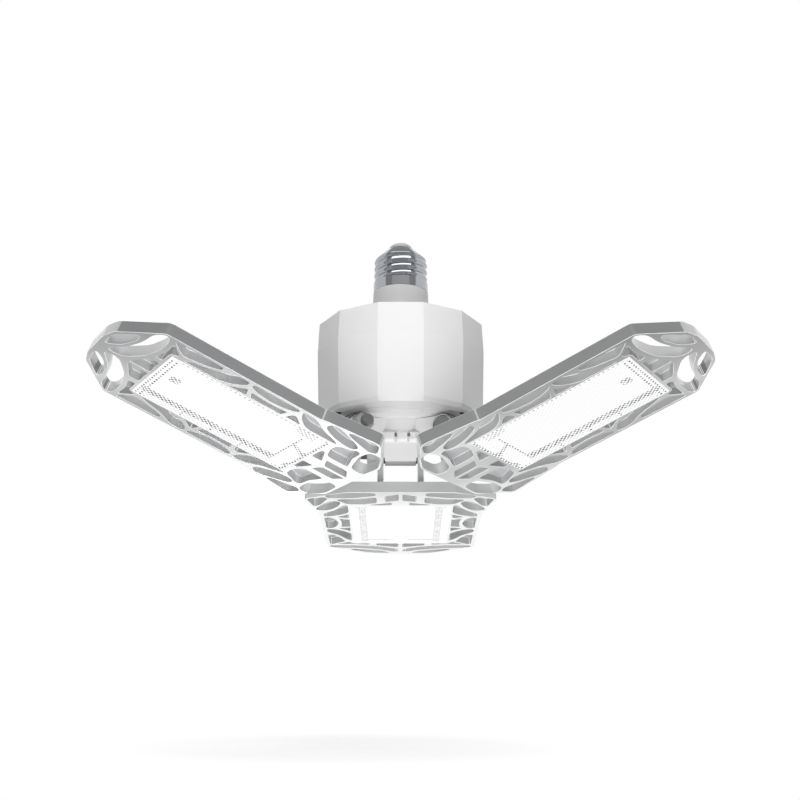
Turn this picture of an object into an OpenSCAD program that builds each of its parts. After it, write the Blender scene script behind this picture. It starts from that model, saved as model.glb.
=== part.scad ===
// Screw-in lamp with three hinged light panels, for a ceiling socket.
// Millimetres, +Z up. The origin is on the lamp's axis, at the lower edge of the metal screw shell.

/* [Screw base] */
// Diameter of the plain band of the screw shell
band_d = 26.8; // [26.6:0.1:27.6]
// Height of the plain band
band_h = 6.2; // [5:0.1:6.6]
// Diameter over the thread crests
thread_d = 26.2; // [25.6:0.1:26.4]
// Distance from crest to crest
thread_pitch = 3.63; // [3.4:0.01:4]
// Depth of the thread
thread_deep = 1.5; // [1:0.1:1.8]
// Sheet thickness of the shell
shell_t = 0.5; // [0.4:0.1:0.8]
// Height of the whole base, from the shell's lower edge to the tip
base_h = 27; // [25.5:0.1:28.5]
// Diameter of the centre contact
contact_d = 12; // [9:0.5:14]
// Lower diameter of the plastic collar
collar_d = 27.8; // [27.6:0.1:32]
// Height of the collar
collar_h = 14; // [12:0.5:18]

/* [Housing] */
// Distance from the axis to a corner of the housing at its widest ring
body_r = 41; // [40:0.1:44]
// Corner distance at the upper ring
top_r = 40.3; // [39:0.1:40.9]
// Corner distance at the lower end
low_r = 40; // [39:0.1:40.9]
// Height of the cap, from the widest ring to the upper ring
cap_h = 14.5; // [10:0.5:20]
// Rise of the cap's sloping top
cap_rise = 6; // [3:0.5:8]
// Height of the main shell below the widest ring
shell_h = 32.8; // [28:0.1:45]
// Height of the chamfer round the lower edge
chamfer_h = 2; // [1:0.1:3]
// Wall thickness of the housing
wall = 2; // [1.4:0.1:2.4]

/* [Hub] */
// Thickness of the lower cover
cover_t = 2.5; // [2:0.1:4]
// Fall of each step on the cover's underside
step_fall = 0.3; // [0.1:0.1:0.3]
// Radius of the neck that carries the hinges
neck_r = 14.5; // [12:0.5:15]
// Distance from the axis to the flat faces between the hinges
flat_r = 14.8; // [13.5:0.1:16]
// Height of the flat faces
flat_h = 4.8; // [3:0.1:6]
// Rounding of their lower edge
flat_round = 2; // [0.5:0.1:2.5]
// Width of each slot in the flat faces
slot_w = 1.3; // [0.8:0.1:2]
// Distance between the two slots of a face
slot_gap = 6; // [4:0.1:8]
// How far the two slots lie to one side of the middle of their face
slot_shift = 0.8; // [-1:0.1:1]

/* [Hinges] */
// Distance of each hinge axis from the lamp's axis
hinge_r = 28; // [27.5:0.1:31]
// Distance of the hinge axes below the housing
hinge_drop = 6.7; // [6.4:0.1:9]
// Radius of the barrel between the ears
barrel_r = 5.7; // [5:0.1:6]
// Length of the barrel
barrel_len = 15.4; // [12:0.1:15.8]
// Diameter of the hinge screw's plain shank
pin_d = 5; // [4:0.1:5.4]
// Radial clearance of the shank in the barrel
pin_fit = 0.04; // [0.02:0.01:0.08]
// Thickness of each friction washer
washer_t = 0.6; // [0.4:0.1:1]
// Thickness of each ear
ear_t = 3; // [2:0.1:4]
// Radius of the ears' round tops
ear_r = 4.9; // [4.8:0.1:5.4]
// Diameter of the round recess for the hinge screw's head
recess_d = 8.9; // [8:0.1:9.2]
// Depth of that recess
recess_deep = 1.6; // [1:0.1:1.9]
// Width of the hinge nut across its flats
nut_w = 8; // [7:0.1:8.4]
// Thickness of the hinge nut
nut_t = 5.2; // [4:0.1:6]
// Length of the hinge screw beyond the nut
screw_end = 3.4; // [1:0.1:4]
// Upward tilt of the left and right panels as the lamp is shown
tilt_side = 19.8; // [-3:0.1:90]
// Upward tilt of the rear panel as the lamp is shown
tilt_rear = -1.8; // [-3:0.1:90]

/* [Panels] */
// Distance of a panel's light face below its hinge axis, lying flat
panel_drop = 22.5; // [22:0.1:26]
// Distance of a flat panel's inner end from the lamp's axis
inner_u = 17.7; // [17.5:0.1:20]
// Distance of a flat panel's tip from the lamp's axis
tip_u = 150; // [140:1:170]
// Half width of the straight sides
side_v = 41.5; // [38:0.1:44]
// Half width over the wings
wing_v = 47.4; // [45:0.1:47.6]
// Depth of the casting
panel_h = 5.5; // [5:0.1:6]
// Depth of the cells that don't go through
cell_deep = 4; // [3.5:0.1:4.2]
// Width of the rim along the sides
rim_w = 2; // [1.4:0.1:2.4]
// Height of the cooling fins
fin_h = 2.5; // [1:0.1:3]
// Thickness of a cooling fin
fin_t = 1.4; // [1:0.1:2]
// Distance from one cooling fin to the next
fin_pitch = 6; // [4:0.5:9]

/* [Light] */
// Distance of the lens from the lamp's axis, on a flat panel
lens_u = 43.4; // [42:0.1:46]
// Length of the lens
lens_len = 78.6; // [70:0.1:84]
// Width of the lens
lens_w = 51.2; // [48:0.1:52]
// Thickness of the lens
lens_t = 1.6; // [1.2:0.1:1.8]
// How far the lens stands out of the casting
lens_proud = 0.3; // [0:0.1:0.4]
// Width of the ledge that the lens rests on
ledge_w = 1.2; // [0.8:0.1:2]
// Thickness of the board that carries the diodes
board_t = 1.2; // [1:0.1:1.4]
// Number of diodes along a panel
led_cols = 12; // [4:1:14]
// Number of diodes across a panel
led_rows = 8; // [4:1:9]

/* [Hidden] */

$fn = 72;
eps = 0.01;
// clearance between pieces that are fitted together by hand
seat = 0.1;
azimuths = [210, -30, 90];
// number of facets round the housing, with a face towards the front
facets = 12;
sides = [1, -1];

// heights on the lamp's axis
cap_top_z = -collar_h;
ring_z = cap_top_z - cap_rise;
belt_z = ring_z - cap_h;
low_z = belt_z - shell_h;
cover_top_z = low_z + cover_t;
hinge_z = low_z - hinge_drop;
hub_low_z = hinge_z - barrel_r - 0.1;

// housing, with its walls measured at the corners
corner_wall = wall / cos(180 / facets);
inner_low = low_r - corner_wall;
inner_belt = body_r - corner_wall;
spigot_h = 2;
lip = 0.8;

// the cover, the radii of its steps from the outside in, and its wire holes
cover_r = inner_low - seat;
step_r = [cover_r * 0.8, cover_r * 0.66, cover_r * 0.44];
grommet_w = 2.6;
grommet_len = 7.6;
grommet_u = cover_r * cos(180 / facets) - 2.4;
flange_r = neck_r + 6;
flange_t = 1.8;
groove_deep = 1.2;
hub_screw_r = neck_r + 3.4;
hub_screw_d = 2.6;

// the arms stay under the cover's lowest step
arm_top = min(barrel_r, hinge_drop - 3 * step_fall - seat);

// places along the hinge axis
ear_v = barrel_len / 2 + washer_t + 0.05;
ear_out = ear_v + ear_t;

// the pocket for the lens and the board
pocket_u = lens_u - seat;
pocket_len = lens_len + 2 * seat;
pocket_w = lens_w + 2 * seat;
ledge_z = lens_t - lens_proud;
board_len = lens_len - 2 * ledge_w;
board_w = lens_w - 2 * ledge_w;
board_z = cell_deep - board_t;
lens_end = lens_u + lens_len;
screw_bite = (panel_h - cell_deep) * 0.65;

// how far each hinge nut is turned from lying square to its panel
nut_turn = 10;

// how drawn places on a panel move with its sizes
along = [[17.7, inner_u], [43.4, lens_u], [122, lens_end], [150, tip_u]];
across = [[0, 0], [7.8, ear_v - 0.55], [11.8, ear_out + 0.45], [25.6, lens_w / 2],
    [39.5, side_v - rim_w], [41.5, side_v], [47.4, wing_v]];
function put(p) = [lookup(p[0], along), lookup(p[1], across)];

// a closed outline with every corner softened over at most c
function unit(v) = v / norm(v);
function bend(a, p, b, c) =
    let (ca = min(c, norm(a - p) / 2), cb = min(c, norm(b - p) / 2),
        s = p + unit(a - p) * ca, e = p + unit(b - p) * cb)
    [for (t = [0, 1 / 3, 2 / 3, 1]) s * (1 - t) * (1 - t) + p * 2 * t * (1 - t) + e * t * t];
function soft(p, c) =
    let (n = len(p))
    [for (i = [0 : n - 1]) each bend(p[(i + n - 1) % n], p[i], p[(i + 1) % n], c)];
function flip(p, s) = [for (q = p) [q[0], s * q[1]]];

// half of the panel's outline, from the inner end to the tip
half_outline = [[17.7, 26.8], [28.4, 45.6], [30.6, 47.4], [55.2, 42.6], [56.8, 41.5], [131.2, 41.5],
    [147.2, 19.8], [149.2, 11]];

// cells of the lattice on one side, each with the softness of its corners
blind_cells = [
    // wing
    [2.5, [[26.2, 38.2], [29.6, 46.3], [43.6, 43.6], [42.2, 40.7], [29.2, 35.7]]],
    [4, [[33.4, 32.0], [36.4, 29.6], [44.4, 31.4], [52.6, 37.0], [51.2, 42.8], [46.4, 42.4], [34.4, 35.8]]],
    [3, [[40.6, 27.0], [44, 26.6], [56.6, 26.6], [61.4, 31.4], [65.0, 39.5], [58.2, 39.5], [50.4, 32.6],
        [43.2, 29.6]]],
    // side strip
    [1, [[59.9, 26.8], [67.5, 26.8], [66.3, 31.0], [65.0, 32.7], [62.6, 30.4]]],
    [2.2, [[65.8, 39.5], [66.0, 36.2], [71.4, 33.6], [77.4, 32.6], [83.4, 33.6], [88.8, 36.2], [88.9, 39.5]]],
    [0.8, [[68.6, 31.9], [69.8, 26.8], [84.8, 26.8], [86.4, 31.7], [82, 31.1], [77.4, 30.8], [72.8, 31.1]]],
    [1, [[87.1, 26.8], [95.6, 26.8], [91.8, 30.2], [89.0, 33.2]]],
    [3, [[90.8, 39.5], [90.4, 36.4], [93.4, 31.8], [99.2, 27.2], [104, 26.8], [118, 26.8], [113, 30.0],
        [104.4, 33.4], [99.4, 37.6], [96.8, 39.5]]],
    [1.4, [[103.6, 39.5], [103.2, 36.6], [108.8, 33.4], [118.8, 30.6], [121.4, 33.2], [125.8, 38.6],
        [125.0, 39.5]]],
    // round the inner end of the lens
    [2, [[27.0, 11.9], [37.8, 11.9], [40.4, 20], [40.0, 26.4], [32.2, 31.8], [30.3, 30.2], [30.0, 22]]],
    [0.8, [[21.4, 1.0], [33.3, 1.0], [35.7, 7.7], [24.8, 7.7]]],
    [0.6, [[36.8, 4.4], [42.0, 4.4], [42.0, 14.6], [40.4, 14.6]]],
    // beyond the outer end of the lens
    [1, [[123.6, 1.2], [133.2, 1.2], [131.0, 6.6], [128.3, 13.4], [123.6, 13.4]]],
    [1.2, [[123.6, 17.2], [126.8, 17.8], [125.2, 27], [125.7, 36.6], [119.8, 28.6], [123.6, 26.6]]],
];
open_cells = [
    // beside the hinge
    [3, [[18.9, 12.2], [18.4, 26], [23.2, 37.0], [28.4, 36.4], [29.2, 27], [25.4, 12.2]]],
    // crescent and leaf at the tip
    [4, [[137.2, 1.2], [144.9, 1.2], [138.6, 12.6], [135.2, 24.6], [134.5, 35.6], [130.4, 41.0], [127.9, 38],
        [127.6, 27], [130.2, 13.6]]],
    [3, [[147.0, 5.0], [141.2, 11.2], [137.3, 23.6], [138.2, 29.8], [143.4, 22.2], [147.0, 16]]],
];

module outline() {
    half = [for (p = half_outline) put(p)];
    polygon(soft(concat(flip(half, 1), [for (i = [len(half) - 1 : -1 : 0]) flip(half, -1)[i]]), 1.6));
}

module cells(list) {
    for (c = list)
        for (s = sides)
            polygon(flip(soft([for (p = c[1]) put(p)], c[0]), s));
}

// a rectangle that lies on the middle line of a panel
module middle_rect(u, length, width) {
    translate([u, -width / 2])
        square([length, width]);
}

// children are drawn on a flat panel: X away from the lamp, Z up from its light face
module on_panel(azimuth, tilt) {
    rotate([0, 0, azimuth])
        translate([hinge_r, 0, hinge_z])
            rotate([0, -tilt, 0])
                translate([-hinge_r, 0, -panel_drop])
                    children();
}

module round_bar(r, from, to) {
    translate([0, from, 0])
        rotate([-90, 0, 0])
            cylinder(h = to - from, r = r);
}

// a bar along the hinge axis of a flat panel
module axis_bar(r, from, to) {
    translate([hinge_r, 0, panel_drop])
        round_bar(r, from, to);
}

// a solid with flat facets round the axis, from corner distances and heights listed upwards
module facet_solid(line) {
    edge = [for (p = line) [p[0] * cos(180 / facets), p[1]]];
    other = [for (i = [len(edge) - 1 : -1 : 0]) [-edge[i][0], edge[i][1]]];
    intersection_for(i = [0 : facets / 2 - 1])
        rotate([90, 0, i * 360 / facets])
            linear_extrude(3 * body_r, center = true)
                polygon(concat(edge, other));
}

// screw base

thread_turns = 2.7;
thread_top = band_h + thread_turns * thread_pitch;
shoulder = [[thread_d / 2 - 0.8, thread_top + 1.4], [thread_d / 2 - 3.5, (thread_top + base_h) / 2 - 0.9],
    [contact_d / 2 + 0.9, base_h - 4]];
function thread_r(z) = thread_d / 2 - thread_deep / 2 * (1 + cos(360 * (z - band_h) / thread_pitch));
shell_line = concat(
    [[band_d / 2, 0], [band_d / 2, band_h - 0.6]],
    [for (t = [0 : 0.1 : thread_turns]) let (z = band_h + t * thread_pitch) [thread_r(z), z]],
    shoulder);
function inner_side(p) = p - [shell_t, p[1] > shoulder[0][1] ? shell_t : 0];

module screw_shell() {
    last = len(shell_line) - 1;
    color("silver")
        rotate_extrude()
            polygon(concat(shell_line, [for (i = [last : -1 : 0]) inner_side(shell_line[i])]));
}

module base_insulator() {
    wide = inner_side(shoulder[1]) - [seat, seat];
    high = inner_side(shoulder[2]) - [seat, seat];
    low = wide[1] - 1.8;
    top = base_h - 3.5;
    color("dimgray")
        rotate_extrude()
            polygon([[2, low], [wide[0], low], wide, high, [high[0], top], [2, top]]);
}

module centre_contact() {
    low = base_h - 3.5;
    r = contact_d / 2;
    color("gray")
        rotate_extrude()
            polygon([[0, low], [r, low], [r * 0.98, low + 0.8], [r * 0.86, low + 1.8], [r * 0.66, base_h - 0.8],
                [r * 0.42, base_h - 0.25], [r * 0.16, base_h], [0, base_h]]);
}

module base_collar() {
    plug_r = collar_d / 2 - 2;
    color("lightgray")
        rotate_extrude()
            polygon([[band_d / 2 - 3, 4], [band_d / 2 - shell_t - seat, 4], [band_d / 2 - shell_t - seat, 0],
                [band_d / 2 + 0.05, 0], [collar_d / 2, cap_top_z], [plug_r, cap_top_z],
                [plug_r, cap_top_z - wall - 1], [plug_r - 2, cap_top_z - wall - 1]]);
}

// housing

module housing_cap() {
    spigot_r = inner_belt - seat;
    color("white")
        difference() {
            facet_solid([[spigot_r, belt_z - spigot_h], [spigot_r, belt_z], [body_r, belt_z], [top_r, ring_z],
                [top_r - 0.6, ring_z], [collar_d / 2 + 1, cap_top_z]]);
            facet_solid([[spigot_r - 1.5, belt_z - spigot_h - 1], [spigot_r - 1.5, belt_z],
                [top_r - corner_wall - 1.5, ring_z - wall], [collar_d / 2, cap_top_z - wall]]);
            translate([0, 0, ring_z])
                cylinder(h = collar_h, r = collar_d / 2 - 2 + seat);
        }
}

module housing_shell() {
    spigot_z = belt_z - spigot_h - seat;
    color("white")
        difference() {
            facet_solid([[low_r - chamfer_h * 0.6, low_z], [low_r, low_z + chamfer_h], [body_r, belt_z]]);
            facet_solid([[inner_low, low_z - 1], [inner_low, cover_top_z], [inner_low - lip, cover_top_z],
                [inner_low - lip, cover_top_z + 1.2], [inner_low - 0.2, cover_top_z + 2], [inner_belt, spigot_z],
                [inner_belt, belt_z + 1]]);
        }
}

module lower_cover() {
    color("white")
        difference() {
            union() {
                facet_solid([[cover_r, low_z], [cover_r, cover_top_z]]);
                for (i = [0 : 2])
                    translate([0, 0, low_z - step_fall * (i + 1)])
                        cylinder(h = cover_t, r = step_r[i]);
            }
            translate([0, 0, low_z - 5])
                cylinder(h = cover_t + 10, r = neck_r + seat);
            at_hub_screws()
                translate([0, 0, -2.4])
                    cylinder(h = 3, r = hub_screw_d / 2 - 0.2);
            for (a = azimuths)
                rotate([0, 0, a])
                    translate([grommet_u, 0, low_z - 1])
                        linear_extrude(cover_t + 2)
                            slot_shape(grommet_w, grommet_len);
        }
}

// an oblong with round ends that lies along Y
module slot_shape(width, length) {
    square([width, length - width], center = true);
    for (s = sides)
        translate([0, s * (length - width) / 2])
            circle(d = width);
}

module wire_grommets() {
    color("black")
        for (a = azimuths)
            rotate([0, 0, a])
                translate([grommet_u, 0, low_z])
                    difference() {
                        union() {
                            linear_extrude(cover_t + 1)
                                slot_shape(grommet_w - 0.1, grommet_len - 0.1);
                            translate([0, 0, cover_t])
                                linear_extrude(1)
                                    slot_shape(grommet_w + 0.6, grommet_len + 0.6);
                        }
                        translate([0, 0, -1])
                            linear_extrude(cover_t + 3)
                                slot_shape(grommet_w - 1.2, grommet_len - 1.2);
                    }
}

// hub

module at_hub_screws() {
    for (a = azimuths)
        rotate([0, 0, a + 60])
            translate([hub_screw_r, 0, cover_top_z])
                children();
}

// outline of an arm in the plane across its hinge, from the lamp's axis to the barrel
arm_line = [[0, -barrel_r - 0.1], [hinge_r - barrel_r - 2.8, -barrel_r - 0.1], [hinge_r - barrel_r + 0.4, -2.6],
    [hinge_r - 2.6, arm_top - 0.6], [hinge_r - 2.6, arm_top], [0, arm_top]];

module hinge_hub() {
    color("white")
        difference() {
            union() {
                translate([0, 0, cover_top_z])
                    cylinder(h = flange_t, r = flange_r);
                translate([0, 0, hub_low_z + flat_h])
                    cylinder(h = cover_top_z - hub_low_z - flat_h + eps, r = neck_r);
                translate([0, 0, hub_low_z])
                    intersection() {
                        cylinder(h = flat_h + eps, r = flat_r + 1.5);
                        for_faces();
                    }
                for (a = azimuths)
                    rotate([0, 0, a])
                        translate([0, barrel_len / 2, hinge_z])
                            rotate([90, 0, 0])
                                linear_extrude(barrel_len)
                                    polygon(arm_line);
            }
            for (a = azimuths)
                rotate([0, 0, a])
                    translate([hinge_r, 0, hinge_z])
                        round_bar(barrel_r + 0.02, -barrel_len, barrel_len);
            for (a = azimuths)
                for (s = sides)
                    rotate([0, 0, a + 60])
                        translate([flat_r, slot_shift + s * slot_gap / 2 - slot_w / 2, hub_low_z])
                            hub_slot();
            at_hub_screws()
                translate([0, 0, -eps])
                    cylinder(h = flange_t + 1, r = hub_screw_d / 2 + seat);
        }
}

// the space inside the three flat faces, with their lower edges rounded
module for_faces() {
    corner = [for (t = [0 : 15 : 90]) [flat_r - flat_round * (1 - sin(t)), flat_round * (1 - cos(t))]];
    intersection_for(a = azimuths)
        rotate([0, 0, a + 60])
            rotate([90, 0, 0])
                linear_extrude(2 * body_r, center = true)
                    polygon(concat([[-body_r, 0]], corner, [[flat_r, 2 * flat_h], [-body_r, 2 * flat_h]]));
}

// a slot that is deep at its upper end and runs out below as a groove
module hub_slot() {
    deep_h = flat_h * 0.4;
    translate([-3.5, 0, flat_h - deep_h])
        cube([5, slot_w, deep_h]);
    translate([-groove_deep, 0, -eps])
        cube([groove_deep + 1, slot_w, flat_h]);
}

module hub_screws() {
    color("silver")
        at_hub_screws() {
            translate([0, 0, -2])
                cylinder(h = flange_t + 2 + eps, r = hub_screw_d / 2 - 0.22);
            translate([0, 0, flange_t])
                cylinder(h = 1.8, r = hub_screw_d * 0.95);
        }
}

module hinge_barrels() {
    color("gray")
        for (a = azimuths)
            rotate([0, 0, a])
                translate([hinge_r, 0, hinge_z])
                    difference() {
                        round_bar(barrel_r, -barrel_len / 2, barrel_len / 2);
                        round_bar(pin_d / 2 + pin_fit, -barrel_len, barrel_len);
                    }
}

// driver inside the housing

driver_y = flange_r + 1.4;
driver_t = 1.6;
driver_w = 1.2 * low_r;
driver_h = 0.85 * shell_h;

module driver_board() {
    color("green")
        translate([-driver_w / 2, driver_y, cover_top_z])
            cube([driver_w, driver_t, driver_h]);
}

module transformer() {
    color("orange")
        translate([0, driver_y, cover_top_z + 18])
            rotate([90, 0, 0])
                difference() {
                    translate([-10, -9, 0])
                        cube([20, 18, 14]);
                    for (s = sides)
                        translate([s * 5.6 - 1.6, -5.5, 4])
                            cube([3.2, 11, 20]);
                }
}

module capacitors() {
    color("navy")
        for (s = sides)
            translate([s * 17, driver_y, cover_top_z + 17])
                rotate([90, 0, 0])
                    cylinder(h = 17, r = 5);
}

// panels, drawn flat

// outline of an ear below its round top, across the hinge axis
ear_line = [[hinge_r - ear_r - 1.4, cell_deep], [hinge_r - ear_r, panel_drop], [hinge_r + ear_r, panel_drop],
    [hinge_r + ear_r + 0.6, cell_deep]];

module ear(s) {
    v = s > 0 ? ear_v : -ear_out;
    translate([0, v + ear_t, 0])
        rotate([90, 0, 0])
            linear_extrude(ear_t) {
                polygon(ear_line);
                translate([hinge_r, panel_drop])
                    circle(r = ear_r);
            }
}

module fins() {
    count = floor((lens_w / 2 - 1.5) / fin_pitch);
    for (i = [-count : count])
        translate([lens_u + 4, i * fin_pitch - fin_t / 2, panel_h - eps])
            cube([lens_len - 8, fin_t, fin_h + eps]);
}

module at_board_screws() {
    for (x = sides)
        for (y = sides)
            translate([lens_u + lens_len / 2 + x * (board_len / 2 - 3), y * (board_w / 2 - 3), board_z])
                children();
}

module panel_frame() {
    color("silver")
        difference() {
            union() {
                linear_extrude(panel_h)
                    outline();
                for (s = sides)
                    ear(s);
                fins();
            }
            translate([0, 0, -1])
                linear_extrude(cell_deep + 1)
                    cells(blind_cells);
            translate([0, 0, -1])
                linear_extrude(panel_h + 2)
                    cells(open_cells);
            translate([0, 0, -1])
                linear_extrude(ledge_z + 1)
                    middle_rect(pocket_u, pocket_len, pocket_w);
            translate([0, 0, -1])
                linear_extrude(cell_deep + 1)
                    middle_rect(lens_u + ledge_w - seat, board_len + 2 * seat, board_w + 2 * seat);
            axis_bar(pin_d / 2 + 0.05, -ear_out - 1, ear_out + 1);
            axis_bar(recess_d / 2, -ear_out - 1, -ear_out + recess_deep);
            at_board_screws()
                cylinder(h = board_t + screw_bite + seat, r = 0.9);
        }
}

module panel_board() {
    color("white")
        difference() {
            translate([0, 0, board_z])
                linear_extrude(board_t)
                    middle_rect(lens_u + ledge_w, board_len, board_w);
            at_board_screws()
                translate([0, 0, -1])
                    cylinder(h = board_t + 2, r = 1.05);
        }
}

module panel_diodes() {
    span_u = board_len - 16;
    span_v = board_w - 10;
    color("lightyellow")
        for (i = [0 : led_cols - 1])
            for (k = [0 : led_rows - 1])
                translate([lens_u + lens_len / 2 + span_u * (i / (led_cols - 1) - 0.5) - 1.75,
                    span_v * (k / (led_rows - 1) - 0.5) - 1.4, board_z - 0.7])
                    cube([3.5, 2.8, 0.7]);
}

module panel_board_screws() {
    color("gray")
        at_board_screws() {
            translate([0, 0, -eps])
                cylinder(h = board_t + screw_bite + eps, r = 0.88);
            translate([0, 0, -0.6])
                cylinder(h = 0.6, r = 1.7);
        }
}

module panel_lens() {
    color("ivory")
        translate([0, 0, -lens_proud])
            linear_extrude(lens_t)
                middle_rect(lens_u, lens_len, lens_w);
}

module panel_hinge_screw() {
    color("dimgray") {
        axis_bar(pin_d / 2, -ear_out + recess_deep - eps, ear_out + nut_t + screw_end);
        axis_bar(recess_d / 2 - 0.3, -ear_out + 0.2, -ear_out + recess_deep);
    }
}

module panel_hinge_nut() {
    color("dimgray")
        difference() {
            translate([hinge_r, ear_out, panel_drop])
                rotate([-90, nut_turn, 0])
                    cylinder(h = nut_t, d = nut_w / cos(30), $fn = 6);
            axis_bar(pin_d / 2 + 0.02, 0, ear_out + nut_t + 1);
        }
}

module panel_hinge_washers() {
    color("black")
        for (s = sides)
            mirror([0, s > 0 ? 0 : 1, 0])
                difference() {
                    axis_bar(ear_r - 0.3, ear_v - washer_t, ear_v);
                    axis_bar(pin_d / 2 + 0.05, 0, ear_out);
                }
}

module left() { on_panel(azimuths[0], tilt_side) children(); }
module right() { on_panel(azimuths[1], tilt_side) children(); }
module rear() { on_panel(azimuths[2], tilt_rear) children(); }

module frame_left() { left() panel_frame(); }
module board_left() { left() panel_board(); }
module diodes_left() { left() panel_diodes(); }
module board_screws_left() { left() panel_board_screws(); }
module lens_left() { left() panel_lens(); }
module hinge_screw_left() { left() panel_hinge_screw(); }
module hinge_nut_left() { left() panel_hinge_nut(); }
module hinge_washers_left() { left() panel_hinge_washers(); }
module frame_right() { right() panel_frame(); }
module board_right() { right() panel_board(); }
module diodes_right() { right() panel_diodes(); }
module board_screws_right() { right() panel_board_screws(); }
module lens_right() { right() panel_lens(); }
module hinge_screw_right() { right() panel_hinge_screw(); }
module hinge_nut_right() { right() panel_hinge_nut(); }
module hinge_washers_right() { right() panel_hinge_washers(); }
module frame_rear() { rear() panel_frame(); }
module board_rear() { rear() panel_board(); }
module diodes_rear() { rear() panel_diodes(); }
module board_screws_rear() { rear() panel_board_screws(); }
module lens_rear() { rear() panel_lens(); }
module hinge_screw_rear() { rear() panel_hinge_screw(); }
module hinge_nut_rear() { rear() panel_hinge_nut(); }
module hinge_washers_rear() { rear() panel_hinge_washers(); }

centre_contact();
base_insulator();
screw_shell();
base_collar();
housing_cap();
housing_shell();
lower_cover();
hinge_hub();
hub_screws();
hinge_barrels();
wire_grommets();
driver_board();
transformer();
capacitors();
frame_left();
board_left();
diodes_left();
board_screws_left();
lens_left();
hinge_screw_left();
hinge_nut_left();
hinge_washers_left();
frame_right();
board_right();
diodes_right();
board_screws_right();
lens_right();
hinge_screw_right();
hinge_nut_right();
hinge_washers_right();
frame_rear();
board_rear();
diodes_rear();
board_screws_rear();
lens_rear();
hinge_screw_rear();
hinge_nut_rear();
hinge_washers_rear();
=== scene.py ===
import math
import bpy
import bmesh
from mathutils import Matrix, Vector


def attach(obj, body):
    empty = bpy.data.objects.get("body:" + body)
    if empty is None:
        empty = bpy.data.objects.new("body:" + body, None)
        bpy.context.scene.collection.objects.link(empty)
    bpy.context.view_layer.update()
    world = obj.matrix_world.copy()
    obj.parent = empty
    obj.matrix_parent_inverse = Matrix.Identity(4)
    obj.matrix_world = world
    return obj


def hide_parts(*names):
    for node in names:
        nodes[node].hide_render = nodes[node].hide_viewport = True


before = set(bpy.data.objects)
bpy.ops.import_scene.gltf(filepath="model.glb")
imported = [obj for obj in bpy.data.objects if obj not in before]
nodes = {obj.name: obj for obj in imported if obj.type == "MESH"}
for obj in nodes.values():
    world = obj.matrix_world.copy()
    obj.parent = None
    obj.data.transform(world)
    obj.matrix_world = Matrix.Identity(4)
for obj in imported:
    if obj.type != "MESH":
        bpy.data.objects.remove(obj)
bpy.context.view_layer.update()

MM = 0.001
SIDES = ("left", "right", "rear")
# the panels as in the part's source: the way each points and its tilt, in degrees, then the hinges' distance
# from the axis and height, and how far the light face lies below the hinge, in millimetres
AZIMUTH = {"left": 210, "right": -30, "rear": 90}
TILT = {"left": 19.8, "right": 19.8, "rear": -1.8}
HINGE_R, HINGE_Z, DROP = 28, -74, 22.5


# camera at the photograph's angle: from the front, a little below the lamp, looking up
SENSOR = 36
FOCAL_PIXELS = 1263
PHOTO_WIDTH = 800
LOOKS_UP, ROLL = 0.3149, -0.001
camera = bpy.data.objects.new("camera", bpy.data.cameras.new("camera"))
bpy.context.collection.objects.link(camera)
camera.data.sensor_width = SENSOR
camera.data.lens = FOCAL_PIXELS * SENSOR / PHOTO_WIDTH
camera.data.clip_start = 0.01
camera.data.clip_end = 60
camera.location = (-0.00011, -0.57675, -0.24258)
camera.rotation_euler = (math.radians(90) + LOOKS_UP, ROLL, 0)
bpy.context.scene.camera = camera
bpy.context.scene.view_settings.view_transform = "Standard"


# materials

def math_node(tree, operation, *values):
    """A Math node's output. Its inputs are numbers or other nodes' outputs."""
    node = tree.nodes.new("ShaderNodeMath")
    node.operation = operation
    for i, value in enumerate(values):
        if isinstance(value, (int, float)):
            node.inputs[i].default_value = value
        else:
            tree.links.new(value, node.inputs[i])
    return node.outputs[0]


class Nodes:
    """A short way to build one material from nodes."""

    def __init__(self, name):
        self.material = bpy.data.materials.new(name)
        self.material.use_nodes = True
        self.tree = self.material.node_tree
        self.tree.nodes.clear()
        self.out = self.tree.nodes.new("ShaderNodeOutputMaterial")

    def add(self, kind, links=None, **values):
        node = self.tree.nodes.new("ShaderNode" + kind)
        for key, value in values.items():
            if hasattr(node, key):
                setattr(node, key, value)
            else:
                node.inputs[key.replace("_", " ")].default_value = value
        for key, source in (links or {}).items():
            self.tree.links.new(source, node.inputs[key])
        return node

    def ramp(self, source, *stops, mode="LINEAR"):
        node = self.tree.nodes.new("ShaderNodeValToRGB")
        node.color_ramp.interpolation = mode
        while len(node.color_ramp.elements) < len(stops):
            node.color_ramp.elements.new(0.5)
        for element, (place, colour) in zip(node.color_ramp.elements, stops):
            element.position = place
            element.color = (*colour, 1)
        self.tree.links.new(source, node.inputs[0])
        return node.outputs[0]

    def math(self, operation, *values):
        return math_node(self.tree, operation, *values)

    def place(self):
        return self.add("TexCoord").outputs["Object"]

    def noise(self, scale, detail, place=None):
        node = self.add("TexNoise", {"Vector": place or self.place()})
        node.inputs["Scale"].default_value = scale
        node.inputs["Detail"].default_value = detail
        return node.outputs["Fac"]

    def finish(self, shader):
        self.tree.links.new(shader, self.out.inputs["Surface"])
        return self.material


def grey(v):
    return (v, v, v)


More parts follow.
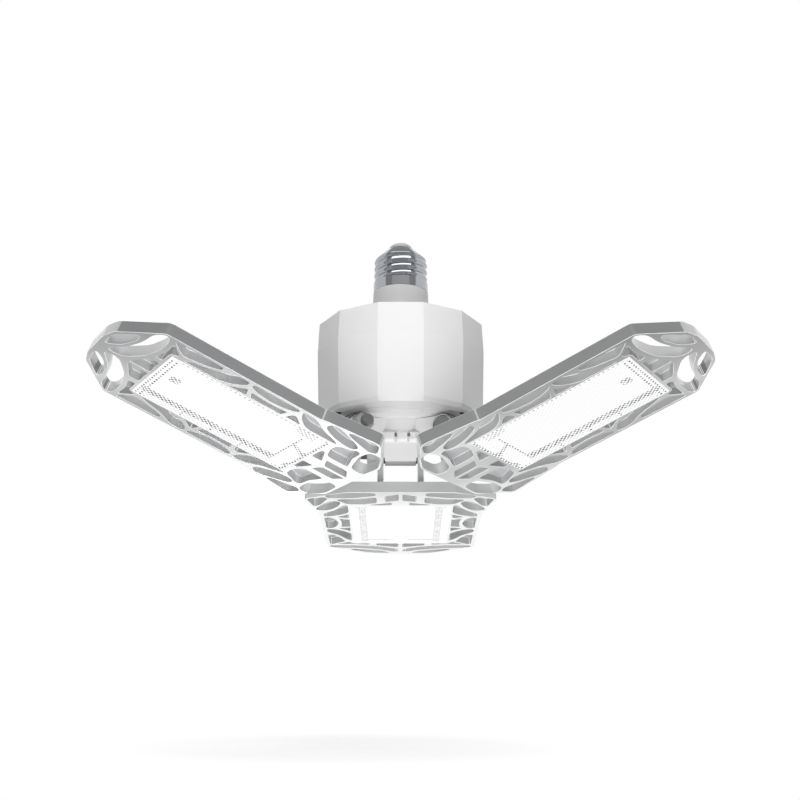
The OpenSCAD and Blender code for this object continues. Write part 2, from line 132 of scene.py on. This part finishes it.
def coated(name, dark, light, rough, grain=2500.0, depth=0.02, coat=0.0):
    """Plastic or paint: slow mottling, a fine grain and a varied roughness."""
    n = Nodes(name)
    slow = n.noise(14.0, 4.0)
    fine = n.noise(grain, 2.0)
    bump = n.add("Bump", {"Height": fine})
    bump.inputs["Strength"].default_value = 0.3
    bump.inputs["Distance"].default_value = depth * MM
    bsdf = n.add("BsdfPrincipled", {
        "Base Color": n.ramp(slow, (0.3, dark), (0.7, light)),
        "Roughness": n.ramp(fine, (0.3, grey(rough[0])), (0.7, grey(rough[1]))),
        "Normal": bump.outputs[0]})
    bsdf.inputs["Coat Weight"].default_value = coat
    bsdf.inputs["Coat Roughness"].default_value = 0.15
    return n.finish(bsdf.outputs[0])


LINES = {"Z": (30, 30, 5200), "X": (5200, 30, 30)}
# how far along Y, in metres, the painted light and shade of the rib faces reaches each way
PAINTED_LIGHT_RANGE = 0.1


def bare_metal(name, dark, light, rough, turned="Z", lined=0.12, painted_light_by_depth=None):
    """Turned or rolled metal with fine lines round its axis.

    painted_light_by_depth gives shares of the colour along Y, from -PAINTED_LIGHT_RANGE at 0 to
    PAINTED_LIGHT_RANGE at 1, as painted light and shade: brighter and darker stretches along the lamp's
    depth.
    """
    n = Nodes(name)
    place = n.place()
    stretch = n.add("Mapping", {"Vector": place})
    stretch.inputs["Scale"].default_value = LINES[turned]
    lines = n.noise(1.0, 3.0, stretch.outputs[0])
    slow = n.noise(60.0, 3.0, place)
    bump = n.add("Bump", {"Height": lines})
    bump.inputs["Strength"].default_value = lined
    bump.inputs["Distance"].default_value = 0.02 * MM
    colour = n.ramp(slow, (0.3, dark), (0.7, light))
    # painted light and shade: the colour scaled by a ramp of shares along Y
    if painted_light_by_depth:
        depth = n.add("SeparateXYZ", {"Vector": place}).outputs[1]
        along = n.add("MapRange", {"Value": depth}, From_Min=-PAINTED_LIGHT_RANGE, From_Max=PAINTED_LIGHT_RANGE).outputs[0]
        shares = n.ramp(along, *[(stop, grey(share)) for stop, share in painted_light_by_depth])
        colour = n.add("VectorMath", {0: colour, 1: shares}, operation="MULTIPLY").outputs[0]
    bsdf = n.add("BsdfPrincipled", {
        "Base Color": colour,
        "Roughness": n.ramp(lines, (0.25, grey(rough[0])), (0.75, grey(rough[1]))),
        "Normal": bump.outputs[0]})
    bsdf.inputs["Metallic"].default_value = 1.0
    return n.finish(bsdf.outputs[0])


WHITE = coated("white_moulded", grey(0.79), grey(0.83), rough=(0.34, 0.46), coat=0.1)
WHITE_COLLAR = coated("grey_white_collar", grey(0.66), grey(0.70), rough=(0.4, 0.5))
CASTING = coated("silver_paint", (0.45, 0.455, 0.46), (0.50, 0.505, 0.51),
                 rough=(0.42, 0.52), grain=5000.0, depth=0.012, coat=1.0)
# the same silver paint, darker on the long outer walls: painted shade
OUTER_WALL_PAINTED_SHADE = coated("silver_paint_outer_walls_painted_shade", (0.21, 0.213, 0.216), (0.245, 0.248, 0.251),
                    rough=(0.40, 0.50), grain=5000.0, depth=0.012)
# lighter, clear-coated paint on the castings' rounded edges and on the side panels' end walls beside the hub:
# painted highlight
EDGE_PAINTED_HIGHLIGHT = coated("painted_highlight_edges", grey(0.84), grey(0.88), rough=(0.25, 0.35), coat=1.0)
# painted light and shade on the ground rib faces: shares of their colour from front to back of the lamp,
# lighter and darker stretches that stand in for the studio's reflections
RIB_PAINTED_LIGHT_TONES = ((0.02, 0.31), (0.07, 0.38), (0.15, 0.43), (0.27, 0.66),
             (0.37, 0.50), (0.45, 0.52), (0.52, 0.70), (0.70, 1.0))
RIB_FACE = bare_metal("ground_rib_faces", (0.90, 0.905, 0.91), (0.95, 0.955, 0.96),
                      rough=(0.30, 0.36), painted_light_by_depth=RIB_PAINTED_LIGHT_TONES)
SHELL = bare_metal("screw_shell_metal", (0.36, 0.375, 0.40), (0.42, 0.435, 0.46),
                   rough=(0.07, 0.12), lined=0.03)
CONTACT = coated("contact_metal", grey(0.48), grey(0.52), rough=(0.6, 0.7))
INSULATOR = coated("insulator_glaze", grey(0.40), grey(0.44), rough=(0.25, 0.35))
PIN_METAL = bare_metal("hinge_metal", grey(0.34), grey(0.4), rough=(0.25, 0.4), turned="X")
BARREL = coated("grey_barrels", grey(0.42), grey(0.47), rough=(0.3, 0.42))
NUT_METAL = coated("nut_metal", grey(0.42), grey(0.47), rough=(0.3, 0.45))
DARK = bare_metal("dark_steel", grey(0.27), grey(0.33), rough=(0.3, 0.45), turned="X")
RUBBER = coated("black_rubber", grey(0.012), grey(0.02), rough=(0.55, 0.7))
BOARD = coated("white_board", grey(0.78), grey(0.84), rough=(0.3, 0.4))
GREEN = coated("circuit_lacquer", (0.02, 0.16, 0.06), (0.03, 0.22, 0.08), rough=(0.2, 0.3))
TAPE = coated("yellow_tape", (0.6, 0.42, 0.08), (0.7, 0.5, 0.12), rough=(0.4, 0.5))
SLEEVE = coated("capacitor_sleeve", (0.02, 0.025, 0.1), (0.03, 0.035, 0.14), rough=(0.25, 0.35))


def lit_phosphor():
    """The diodes' yellow phosphor, lit."""
    n = Nodes("diode_phosphor")
    slow = n.noise(400.0, 2.0)
    glow = n.ramp(slow, (0.3, (1.0, 0.98, 0.9)), (0.7, grey(1)))
    shader = n.add("BsdfPrincipled", {"Emission Color": glow})
    shader.inputs["Emission Strength"].default_value = 1.0
    shader.inputs["Base Color"].default_value = (0.9, 0.85, 0.5, 1)
    return n.finish(shader.outputs[0])


DIODE = lit_phosphor()

# distance between the lens dimples along and across it, and how far a dark patch fades, in millimetres
DIMPLE_PITCH = (2.3, 2.7)
PATCH_FADE = 0.2


def lens_material(name, fine, patches):
    """Clear dimpled plastic over the lit board. Its UV map is in metres: along the lens and across it.

    fine is how dark the dimples are everywhere, patches where they are darker.
    """
    n = Nodes(name)
    uv = n.add("UVMap").outputs[0]
    split = n.add("SeparateXYZ", {"Vector": uv})
    along, across = split.outputs[0], split.outputs[1]
    waves = [n.math("SINE", n.math("MULTIPLY", way, math.tau / (pitch * MM)))
             for way, pitch in zip((along, across), DIMPLE_PITCH)]
    dimple = n.math("MULTIPLY", *waves)
    slant = n.math("MULTIPLY", n.math("ADD", along, across), math.sqrt(0.5))
    slant_along = n.math("MULTIPLY", n.math("SUBTRACT", along, across), math.sqrt(0.5))

    def within(value, low, high):
        """1 between low and high in millimetres, falling to 0 over PATCH_FADE beyond them."""
        up = n.math("DIVIDE", n.math("SUBTRACT", value, (low - PATCH_FADE) * MM), PATCH_FADE * MM)
        down = n.math("DIVIDE", n.math("SUBTRACT", (high + PATCH_FADE) * MM, value), PATCH_FADE * MM)
        inside = n.math("MINIMUM", up, down)
        return n.math("MINIMUM", n.math("MAXIMUM", inside, 0.0), 1.0)

    dark = n.math("MULTIPLY", along, 0.0)
    for u0, u1, v0, v1, share, *turn in patches:
        first, second = (slant, slant_along) if turn else (along, across)
        both = n.math("MULTIPLY", within(first, u0, u1), within(second, v0, v1))
        dark = n.math("MAXIMUM", dark, n.math("MULTIPLY", both, share))
    patchy = n.ramp(n.noise(330.0, 2.0, uv), (0.34, grey(0.45)), (0.52, grey(1)))
    spot = n.ramp(dimple, (0.0, grey(0)), (0.14, grey(1)))
    dark = n.math("MULTIPLY", n.math("MULTIPLY", dark, patchy), spot)
    dark = n.math("MAXIMUM", dark, n.math("MULTIPLY", spot, fine))
    bump = n.add("Bump", {"Height": dimple})
    bump.inputs["Strength"].default_value = 0.1
    bump.inputs["Distance"].default_value = 0.05 * MM
    light = n.math("SUBTRACT", 1.0, dark)
    bsdf = n.add("BsdfPrincipled", {
        "Normal": bump.outputs[0],
        "Base Color": n.ramp(light, (0.0, (0.01, 0.01, 0.015)), (1.0, (0.06, 0.06, 0.065))),
        "Emission Color": n.ramp(light, (0.0, (0.01, 0.01, 0.03)), (1.0, (1.0, 1.0, 1.0)))})
    bsdf.inputs["Roughness"].default_value = 0.4
    bsdf.inputs["Specular IOR Level"].default_value = 0.1
    bsdf.inputs["Emission Strength"].default_value = 0.93
    return n.finish(bsdf.outputs[0])


LENS_U, LENS_LEN, LENS_W, LENS_T, PROUD = 43.4, 78.6, 51.2, 1.6, 0.3
# where the dimples show dark, in millimetres: along the lens from and to, across it from and to, and how
# dark. A sixth value turns the patch by 45 degrees.
SIDE_PATCHES = [(0.0, 1.4, -25, 25, 1.0), (0.7, 2.8, -4.5, 1.0, 0.9), (0.7, 2.8, 15, 20, 0.9),
                (0.7, 6.0, 23, 24.3, 1.0), (9.1, 9.8, -16, 14, 1.0), (9.0, 76.5, 14.0, 19.3, 1.0),
                (8.0, 77.0, 20.2, 24.5, 0.25), (74.9, 75.6, -24, 24, 1.0), (77.0, 77.7, -24, 24, 1.0),
                (73.2, 77.4, 23.3, 24.3, 1.0), (67.3, 71.8, -9.0, -3.5, 0.9), (6.0, 15.5, -25.4, -19.5, 0.55),
                (0.0, 77.0, -25.2, -24.5, 0.6), (0.4, 2.0, 2.5, 12.5, 0.95, 1), (10.5, 14.0, 13.0, 14.5, 0.8)]
SIDE_PATCHES += [(u, u + 0.8, 20.0, 24.6, 1.0) for u in (23.8, 39.2, 54.6)]
REAR_PATCHES = [(2.0, 74.0, 17.8, 21.5, 0.6), (2.0, 74.0, -21.5, -17.8, 0.6), (68.0, 71.0, 4.0, 22.0, 0.7),
                (68.0, 71.0, -22.0, -4.0, 0.7), (61.5, 62.8, -4.0, 4.0, 0.6), (0.5, 2.5, 17.0, 23.0, 0.7),
                (0.5, 2.5, -23.0, -17.0, 0.7), (76.5, 78.0, 17.0, 22.0, 0.7), (76.5, 78.0, -22.0, -17.0, 0.7)]
# the right lens's dimples are darker all over than the left's, on two like lenses: painted shade
LENS = {"left": lens_material("dimpled_lens_left", 0.03, SIDE_PATCHES),
        "right": lens_material("dimpled_lens_right_painted_shade", 0.12, SIDE_PATCHES),
        "rear": lens_material("dimpled_lens_rear", 0.02, REAR_PATCHES)}


# pieces

def panel_matrix(side):
    """From a flat panel's own millimetres to the lamp: X away from the lamp, Z up from its light face."""
    return (Matrix.Rotation(math.radians(AZIMUTH[side]), 4, "Z")
            @ Matrix.Translation(Vector((HINGE_R, 0, HINGE_Z)) * MM)
            @ Matrix.Rotation(-math.radians(TILT[side]), 4, "Y")
            @ Matrix.Translation(Vector((-HINGE_R, 0, -DROP)) * MM)
            @ Matrix.Scale(MM, 4))


def placed(name, mesh, body, node):
    """A piece that rides on a body and stands for a CAD node, which it hides."""
    piece = bpy.data.objects.new(name, mesh)
    bpy.context.collection.objects.link(piece)
    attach(piece, body)
    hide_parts(node)
    return piece


# faces of a copy that turn by less than this, in degrees, are one face
FLAT_ANGLE = 0.6


def dressed(node, material, width, body, angle=25.0, faces=(), chosen=None,
            merge=True, weld=0.02, clamp=True, smooth=True, crisp=None):
    """A copy of a node's shape with its edges rounded, by a width in millimetres.

    angle is the least turn of a rounded edge, and crisp that of a hard edge in the shading, if another.
    faces holds further materials, the last of which covers the rounded edges, and chosen picks a polygon's.
    weld is how close points join, in millimetres. merge joins flat faces first.
    """
    mesh = nodes[node].data.copy()
    bm = bmesh.new()
    bm.from_mesh(mesh)
    bmesh.ops.remove_doubles(bm, verts=bm.verts, dist=weld * MM)
    bmesh.ops.dissolve_degenerate(bm, edges=bm.edges, dist=weld * MM)
    if merge:
        bmesh.ops.dissolve_limit(bm, angle_limit=math.radians(FLAT_ANGLE), verts=bm.verts, edges=bm.edges)
    bm.to_mesh(mesh)
    bm.free()
    mesh.materials.clear()
    mesh.materials.append(material)
    for other in faces:
        mesh.materials.append(other)
    if chosen:
        for polygon in mesh.polygons:
            polygon.material_index = chosen(polygon)
    if smooth:
        mesh.shade_smooth()
        mesh.set_sharp_from_angle(angle=math.radians(crisp or angle))
    else:
        mesh.shade_flat()
    piece = placed(node + "_dressed", mesh, body, node)
    bevel = piece.modifiers.new("round", "BEVEL")
    bevel.width = width * MM
    bevel.segments = 2
    bevel.limit_method = "ANGLE"
    bevel.angle_limit = math.radians(angle)
    bevel.use_clamp_overlap = clamp
    bevel.material = len(faces) if faces else -1
    if smooth:
        piece.modifiers.new("even_shading", "WEIGHTED_NORMAL").keep_sharp = True


def paint(node, material):
    """Gives a CAD node that keeps its shape its material."""
    mesh = nodes[node].data
    mesh.materials.clear()
    mesh.materials.append(material)


dressed("housing_cap", WHITE, 0.08, "lamp_body")
dressed("housing_shell", WHITE, 0.08, "lamp_body", merge=False, smooth=False)
dressed("lower_cover", WHITE, 0.1, "lamp_body", crisp=9.0)
dressed("hinge_hub", WHITE, 0.12, "lamp_body", merge=False)
dressed("base_collar", WHITE_COLLAR, 0.3, "lamp_body")
dressed("hinge_barrels", BARREL, 0.4, "lamp_body")
paint("base_insulator", INSULATOR)
paint("centre_contact", CONTACT)
paint("hub_screws", PIN_METAL)
paint("wire_grommets", RUBBER)
paint("driver_board", GREEN)
paint("transformer", TAPE)
paint("capacitors", SLEEVE)


IN_CELL, ON_FACE, ON_WALL_PAINTED_SHADE, ON_END_PAINTED_HIGHLIGHT = range(4)
# a frame's outline in its own millimetres: u along the panel, v across it
END_U, END_CORNER_V, END_U_MOST = 17.7, 26.8, 29
# across the cut corner beside the hub, and how near to it a polygon has to be
CORNER_CUT, NEAR = (0.869, 0.495), 0.5
# the long outer wall beyond a length, and on the wing before it
STRAIGHT_U, STRAIGHT_V = 56.5, 40.9
WING_U, WING_V, WING_SLOPE = 30.6, 47.0, 0.195
# the cut corners at the tip
TIP_CUT_U, TIP_U, TIP_V, TIP_SLOPE = 131, 151.5, 8, 1.43


def casting_paint(side):
    """Picks the paint of a polygon of a panel's frame.

    IN_CELL is the paint in the cells, ON_FACE on the light face, ON_WALL_PAINTED_SHADE on the long outer
    walls, darker there as painted shade, and ON_END_PAINTED_HIGHLIGHT on the end wall beside the hub, lighter
    there as a painted highlight.
    """
    back = panel_matrix(side).inverted()
    turn = back.to_3x3().normalized()

    def pick(polygon):
        middle = back @ polygon.center
        u, v = middle.x, abs(middle.y)
        if abs(middle.z) < 0.02:
            return ON_FACE
        normal = turn @ polygon.normal
        on_cut = abs((u - END_U) * CORNER_CUT[0] - (v - END_CORNER_V) * CORNER_CUT[1]) < NEAR
        beside_hub = (u < END_U + NEAR or on_cut) and u < END_U_MOST
        # the end walls beside the hub of the side panels take the painted highlight
        if side != "rear" and beside_hub and normal.x < -0.6:
            return ON_END_PAINTED_HIGHLIGHT
        edge = STRAIGHT_V if u > STRAIGHT_U else WING_V - WING_SLOPE * (u - WING_U)
        at_tip = u > TIP_CUT_U and v > TIP_SLOPE * (TIP_U - u) + TIP_V
        return ON_WALL_PAINTED_SHADE if (v > edge or at_tip) and abs(normal.y) > 0.56 else IN_CELL
    return pick


# the castings' paint is picked polygon by polygon: painted shade on the long outer walls, painted highlight
# on the rounded edges and on the end walls beside the hub
for side in SIDES:
    dressed("frame_" + side, CASTING, 0.16, "panel_" + side, angle=35.0,
            faces=(RIB_FACE, OUTER_WALL_PAINTED_SHADE, EDGE_PAINTED_HIGHLIGHT), chosen=casting_paint(side), weld=0.1, clamp=False)
    paint("board_" + side, BOARD)
    paint("diodes_" + side, DIODE)
    paint("board_screws_" + side, PIN_METAL)
    paint("hinge_screw_" + side, DARK)
    paint("hinge_nut_" + side, NUT_METAL)
    paint("hinge_washers_" + side, RUBBER)


def lens_piece(side):
    """The lens plate, with its UV map in metres along and across it, and a rounded rim.

    The right lens has its pattern of dimples mirrored.
    """
    mirror = -1 if side == "right" else 1
    bm = bmesh.new()
    bmesh.ops.create_cube(bm, size=1.0)
    uv = bm.loops.layers.uv.new("UVMap")
    for vert in bm.verts:
        along = LENS_U + LENS_LEN * (vert.co.x + 0.5)
        vert.co = (along, LENS_W * vert.co.y, -PROUD + LENS_T * (vert.co.z + 0.5))
    bmesh.ops.bevel(bm, geom=list(bm.edges), offset=0.25, segments=2, profile=0.5, affect="EDGES")
    for face in bm.faces:
        for loop in face.loops:
            loop[uv].uv = ((loop.vert.co.x - LENS_U) * MM, -loop.vert.co.y * MM * mirror)
    bm.transform(panel_matrix(side))
    mesh = bpy.data.meshes.new("lens_plate_" + side)
    bm.to_mesh(mesh)
    bm.free()
    mesh.materials.append(LENS[side])
    placed("lens_plate_" + side, mesh, "panel_" + side, "lens_" + side)


for side in SIDES:
    lens_piece(side)


# the screw shell, with its thread as a real right-handed helix; all in millimetres
BAND_R, BAND_H, CREST_R, PITCH, DEEP, SHEET = 13.4, 4.9, 13.1, 3.63, 0.95, 0.5
FIRST_CREST, THREAD_TOP = 10.3, 16.0
# heights and radii of the shoulder above the thread
SHOULDER = ((17.6, 12.6), (20.6, 9.6), (23.0, 6.9))
# the thread over one pitch: how far up from a crest, and the share of its depth there
FLANKS = ((0.0, 0.0), (0.03, 0.0), (0.53, 1.0), (0.58, 1.0), (0.97, 0.0), (1.0, 0.0))


def along_points(value, points):
    """The second number of the points, interpolated at a value of the first."""
    for (x0, y0), (x1, y1) in zip(points, points[1:]):
        if value <= x1:
            return y0 + (y1 - y0) * (value - x0) / (x1 - x0)
    return points[-1][1]


def smooth_step(value, low, high):
    """0 below low, 1 above high, and a smooth rise between them."""
    t = min(max((value - low) / (high - low), 0.0), 1.0)
    return t * t * (3 - 2 * t)


def shell_radius(z, turn):
    """Radius of the screw shell at a height and a share of a turn from the front."""
    if z >= SHOULDER[0][0]:
        return along_points(z, SHOULDER)
    groove = DEEP * along_points(((z - FIRST_CREST) / PITCH - turn) % 1.0, FLANKS)
    begun = smooth_step(z, BAND_H, BAND_H + 0.15)
    over = smooth_step(z, THREAD_TOP + 0.2, SHOULDER[0][0])
    crest = BAND_R + (CREST_R - BAND_R) * begun
    thread = crest - groove * begun
    return thread + (SHOULDER[0][1] - thread) * over


def screw_shell():
    """The screw shell as an outer and an inner skin, joined at both ends."""
    bm = bmesh.new()
    around, rows = 120, 150
    top = SHOULDER[-1][0]
    skins = []
    for inward in (0.0, SHEET):
        rings = []
        for row in range(rows + 1):
            z = top * row / rows
            ring = []
            for i in range(around):
                turn = i / around
                angle = math.tau * turn - math.pi / 2
                r = shell_radius(z, turn) - inward
                ring.append(bm.verts.new((r * math.cos(angle), r * math.sin(angle), z)))
            rings.append(ring)
        skins.append(rings)
    outer, inner = skins
    for row in range(rows):
        for i in range(around):
            k = (i + 1) % around
            bm.faces.new((outer[row][i], outer[row][k], outer[row + 1][k], outer[row + 1][i]))
            bm.faces.new((inner[row][k], inner[row][i], inner[row + 1][i], inner[row + 1][k]))
    for i in range(around):
        k = (i + 1) % around
        bm.faces.new((outer[0][k], outer[0][i], inner[0][i], inner[0][k]))
        bm.faces.new((outer[rows][i], outer[rows][k], inner[rows][k], inner[rows][i]))
    bm.transform(Matrix.Scale(MM, 4))
    mesh = bpy.data.meshes.new("threaded_shell")
    bm.to_mesh(mesh)
    bm.free()
    mesh.materials.append(SHELL)
    mesh.shade_smooth()
    mesh.set_sharp_from_angle(angle=math.radians(35))
    placed("threaded_shell", mesh, "lamp_body", "screw_shell")


screw_shell()


# stage

def white_to_camera(n, shader, share):
    """Shows white to the camera and in mirrors, by the given share."""
    path = n.add("LightPath")
    seen = n.math("MAXIMUM", path.outputs["Is Camera Ray"], path.outputs["Is Glossy Ray"])
    seen = n.math("MAXIMUM", seen, path.outputs["Is Transmission Ray"])
    glow = n.add("Emission")
    glow.inputs["Strength"].default_value = 1.0
    mixed = n.add("MixShader", {0: n.math("MULTIPLY", seen, share), 1: shader, 2: glow.outputs[0]})
    return mixed.outputs[0]


def pale_floor():
    """White to the camera, with the lamp's shadow on it, and clear from beneath."""
    n = Nodes("pale_floor")
    mottle = n.noise(3.0, 3.0)
    matt = n.add("BsdfDiffuse", {"Color": n.ramp(mottle, (0.2, grey(0.86)), (0.8, grey(0.88)))})
    # the shadow shows only in an ellipse under the lamp; the rest of the floor is white
    spread = n.add("Mapping", {"Vector": n.place()})
    spread.inputs["Location"].default_value = (0.235, -0.19, 0)
    spread.inputs["Scale"].default_value = (9.1, 13.0, 0)
    reach = n.add("VectorMath", {0: spread.outputs[0]}, operation="LENGTH").outputs["Value"]
    share = n.ramp(reach, (0.0, grey(0.75)), (0.5, grey(0.84)), (1.0, grey(1.0)), mode="EASE")
    shown = white_to_camera(n, matt.outputs[0], share)
    back = n.add("NewGeometry").outputs["Backfacing"]
    clear = n.add("BsdfTransparent").outputs[0]
    return n.finish(n.add("MixShader", {0: back, 1: shown, 2: clear}).outputs[0])


# the floor rises to the back by FLOOR_SLOPE degrees, and is FLOOR_Z high at FLOOR_Y
FLOOR_Z, FLOOR_Y, FLOOR_SLOPE = -0.210, 0.05, 8
floor_mesh = bpy.data.meshes.new("floor")
slope = math.tan(math.radians(FLOOR_SLOPE))
plan = ((-4, -0.9), (4, -0.9), (4, 5), (-4, 5))
floor_mesh.from_pydata([(x, y, FLOOR_Z + (y - FLOOR_Y) * slope) for x, y in plan], [], [(0, 1, 2, 3)])
floor_mesh.materials.append(pale_floor())
floor = bpy.data.objects.new("floor", floor_mesh)
bpy.context.collection.objects.link(floor)
# light from below passes the floor, and the lamp mirrors the white world rather than the floor
floor.visible_shadow = False
floor.visible_diffuse = False
floor.visible_glossy = False


world = bpy.data.worlds.new("studio")
bpy.context.scene.world = world
world.use_nodes = True
tree = world.node_tree
tree.nodes.clear()
path = tree.nodes.new("ShaderNodeLightPath")
soft = tree.nodes.new("ShaderNodeBackground")
soft.inputs["Color"].default_value = (1, 1, 1, 1)
soft.inputs["Strength"].default_value = 0.19
white = tree.nodes.new("ShaderNodeBackground")
white.inputs["Color"].default_value = (1, 1, 1, 1)


def world_math(operation, *values):
    return math_node(tree, operation, *values)


# what metal mirrors: white all round, a grey front, and a bright softbox above the camera
# the way from the lamp to the camera: how far forward and how far down
CAMERA_SIDE = (0.917, 0.398)
direction = tree.nodes.new("ShaderNodeSeparateXYZ")
tree.links.new(tree.nodes.new("ShaderNodeTexCoord").outputs["Generated"], direction.inputs[0])
# both are measured as the slope of a surface that would mirror this direction to the camera
ahead = world_math("MAXIMUM", world_math("SUBTRACT", CAMERA_SIDE[0], direction.outputs[1]), 0.001)
aside = world_math("DIVIDE", world_math("ABSOLUTE", direction.outputs[0]), ahead)
height = world_math("DIVIDE", world_math("SUBTRACT", direction.outputs[2], CAMERA_SIDE[1]), ahead)


def window(half_width, low, high, before, strength):
    """A part of the studio with its own brightness, put over what was there before."""
    inside = world_math("LESS_THAN", aside, half_width)
    inside = world_math("MULTIPLY", inside, world_math("GREATER_THAN", height, low))
    inside = world_math("MULTIPLY", inside, world_math("LESS_THAN", height, high))
    return world_math("MULTIPLY_ADD", inside, world_math("SUBTRACT", strength, before), before)


room = window(0.66, -2.0, 6.0, 1.0, 0.42)
room = window(0.33, -0.06, 0.05, room, 0.66)
room = window(0.40, 0.33, 0.82, room, 3.0)
glossy = path.outputs["Is Glossy Ray"]
brightness = world_math("MULTIPLY_ADD", glossy, world_math("SUBTRACT", room, 1.0), 1.0)
tree.links.new(brightness, white.inputs["Strength"])
mirrored = world_math("MAXIMUM", path.outputs["Is Camera Ray"], path.outputs["Is Transmission Ray"])
mirrored = world_math("MAXIMUM", mirrored, glossy)
mix = tree.nodes.new("ShaderNodeMixShader")
out = tree.nodes.new("ShaderNodeOutputWorld")
tree.links.new(mirrored, mix.inputs[0])
tree.links.new(soft.outputs[0], mix.inputs[1])
tree.links.new(white.outputs[0], mix.inputs[2])
tree.links.new(mix.outputs[0], out.inputs[0])


def area(name, place, target, size, power, mirrored=False):
    """A lamp of a size that points at a target. The object's metal mirrors it only if mirrored is true."""
    light = bpy.data.lights.new(name, "AREA")
    light.shape = "RECTANGLE"
    light.size, light.size_y = size
    light.energy = power
    lamp = bpy.data.objects.new(name, light)
    lamp.location = place
    lamp.rotation_euler = (Vector(target) - Vector(place)).to_track_quat("-Z", "Y").to_euler()
    lamp.visible_camera = False
    lamp.visible_glossy = mirrored
    bpy.context.collection.objects.link(lamp)


area("key", (0.0, -0.98, 0.82), (0, 0, -0.05), (0.7, 0.42), 9.2)
area("glint_rim_left", (-0.171, 0.149, -0.2315), (-0.061, -0.082, -0.074), (0.12, 0.03), 0.04, mirrored=True)
area("glint_hub_left", (-0.13, 0.284, -0.291), (-0.03, -0.046, -0.093), (0.07, 0.07), 0.045, mirrored=True)
area("glint_hub_right", (0.13, 0.284, -0.291), (0.03, -0.046, -0.093), (0.07, 0.07), 0.012, mirrored=True)
area("front_below", (0.0, -0.62, -0.82), (0, 0, -0.09), (1.2, 0.85), 12.6)
area("top", (0.05, 0.05, 1.2), (0, 0, -0.05), (0.5, 0.5), 6.0)
area("rear", (0.0, 1.1, 0.1), (0, 0, -0.08), (0.9, 0.6), 6.0)
